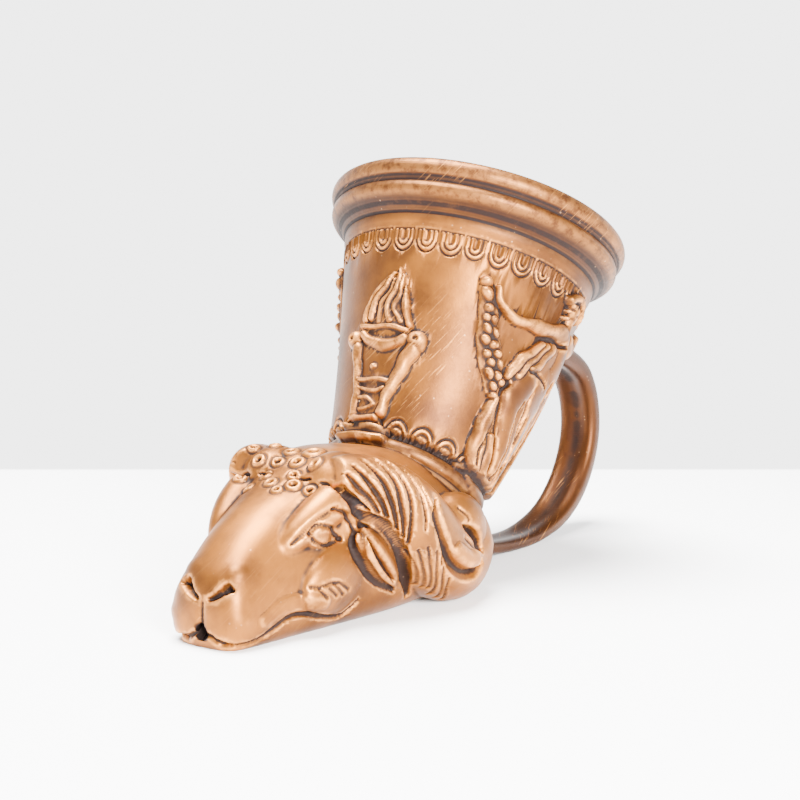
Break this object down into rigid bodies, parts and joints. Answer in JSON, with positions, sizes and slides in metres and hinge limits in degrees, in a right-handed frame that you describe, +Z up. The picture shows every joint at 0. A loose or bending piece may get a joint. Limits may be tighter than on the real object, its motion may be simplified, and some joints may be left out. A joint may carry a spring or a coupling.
{
  "type": "rhyton",
  "caption": "Clay drinking horn with a ram's head lying on its jaw, a leaning cup with relief figures, a strap handle and a spout in the ram's lips.",
  "frame": {"origin": "centre of the bounding box's underside, on the surface that the piece rests on", "axes": "+X from the ram's muzzle towards the handle, +Z up, symmetric cup and head about Y = 0"},
  "size_m": [0.2204, 0.1, 0.1338],
  "materials": {
    "clay": "fired clay, tan and brown, satin, with dark patina rubbed into the hollows"
  },
  "bodies": {
    "root": {"rhyton": "clay"}
  },
  "joints": []
}
